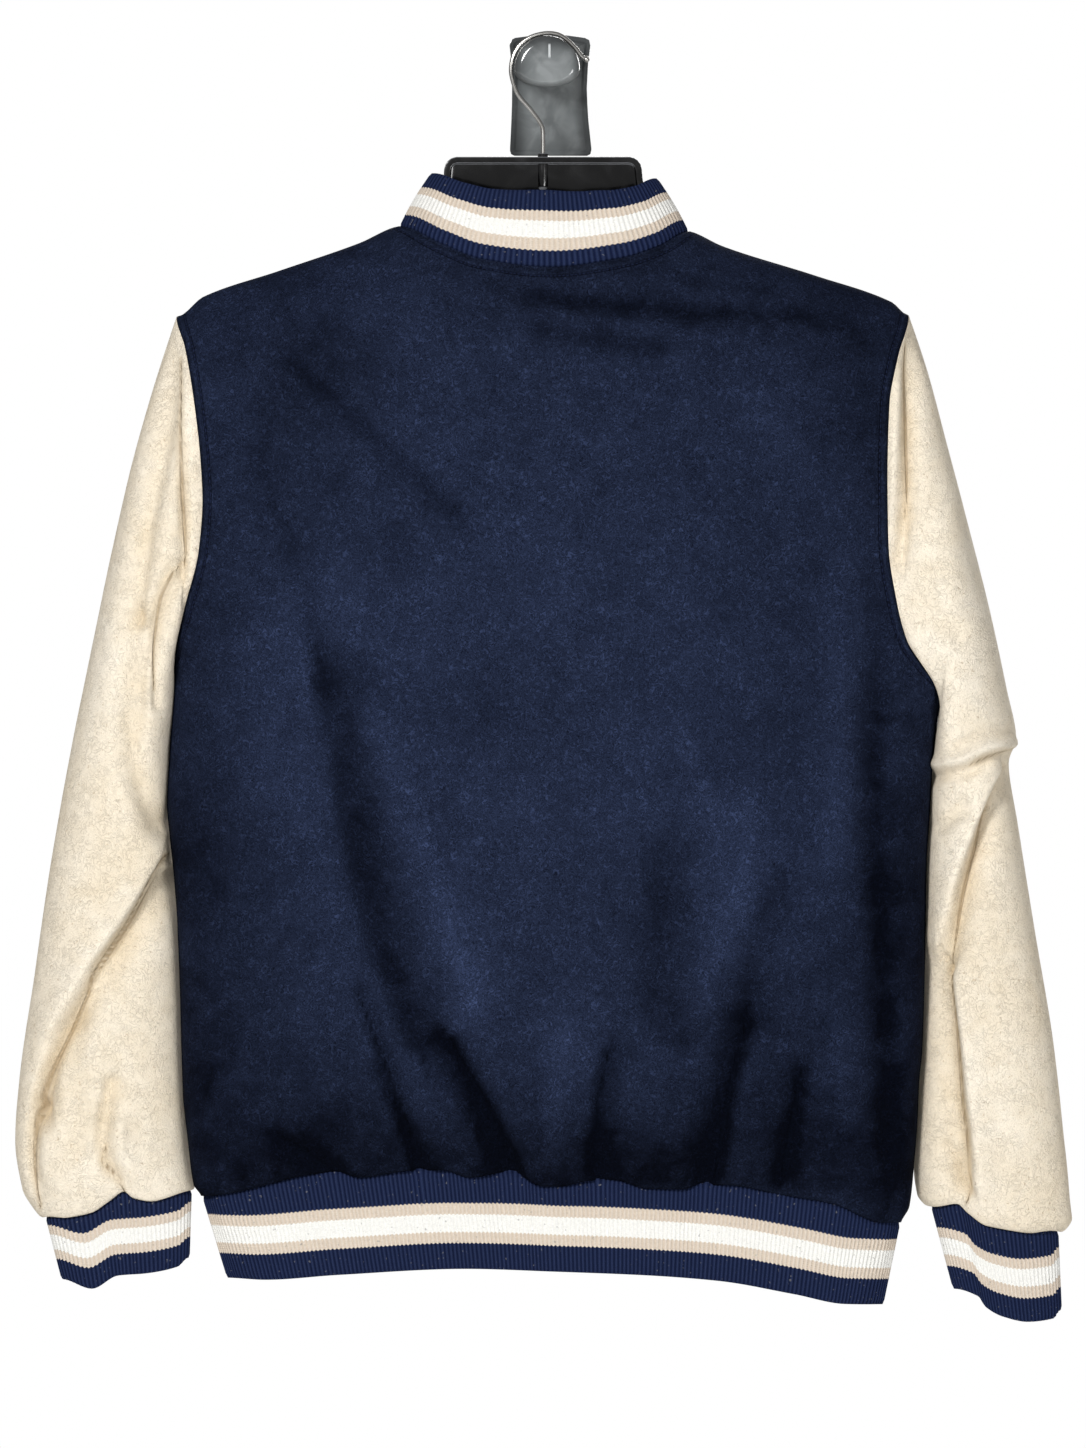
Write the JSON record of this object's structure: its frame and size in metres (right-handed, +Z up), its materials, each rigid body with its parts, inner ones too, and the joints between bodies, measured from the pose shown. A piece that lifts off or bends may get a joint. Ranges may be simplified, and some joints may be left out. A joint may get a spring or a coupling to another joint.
{
  "type": "varsity jacket on a hanger with its wall hook",
  "caption": "Snap-front varsity jacket with striped rib-knit collar, cuffs and hem, hung on a moulded hanger from a wall hook plate.",
  "frame": {"origin": "middle of the wire hook on the flat back of the wall plate, where the wall holds the part", "axes": "+Y into the wall, so the back of the jacket faces -Y; +X to the wearer's right; +Z up"},
  "size_m": [0.7172, 0.112, 0.8777],
  "materials": {
    "navy_suede": "short nap suede-like cloth, navy, mottled",
    "cream_suede": "short nap suede-like cloth, cream, speckled",
    "striped_knit": "rib knit, navy with tan and white stripes",
    "snap_metal": "satin nickel",
    "hanger_plastic": "glossy black moulding",
    "hook_wire": "bright nickel wire",
    "plate_plastic": "smoked grey, polished"
  },
  "bodies": {
    "root": {"back": "navy_suede", "front_left": "navy_suede", "front_right": "navy_suede", "sleeve_left": "cream_suede", "sleeve_right": "cream_suede", "cuff_left": "striped_knit", "cuff_right": "striped_knit", "hem_rib": "striped_knit", "collar_rib": "striped_knit", "snap_1": "snap_metal", "snap_2": "snap_metal", "snap_3": "snap_metal", "snap_4": "snap_metal", "snap_5": "snap_metal", "snap_6": "snap_metal", "snap_7": "snap_metal", "hanger_body": "hanger_plastic", "hanger_hook": "hook_wire", "wall_plate": "plate_plastic"}
  },
  "joints": []
}
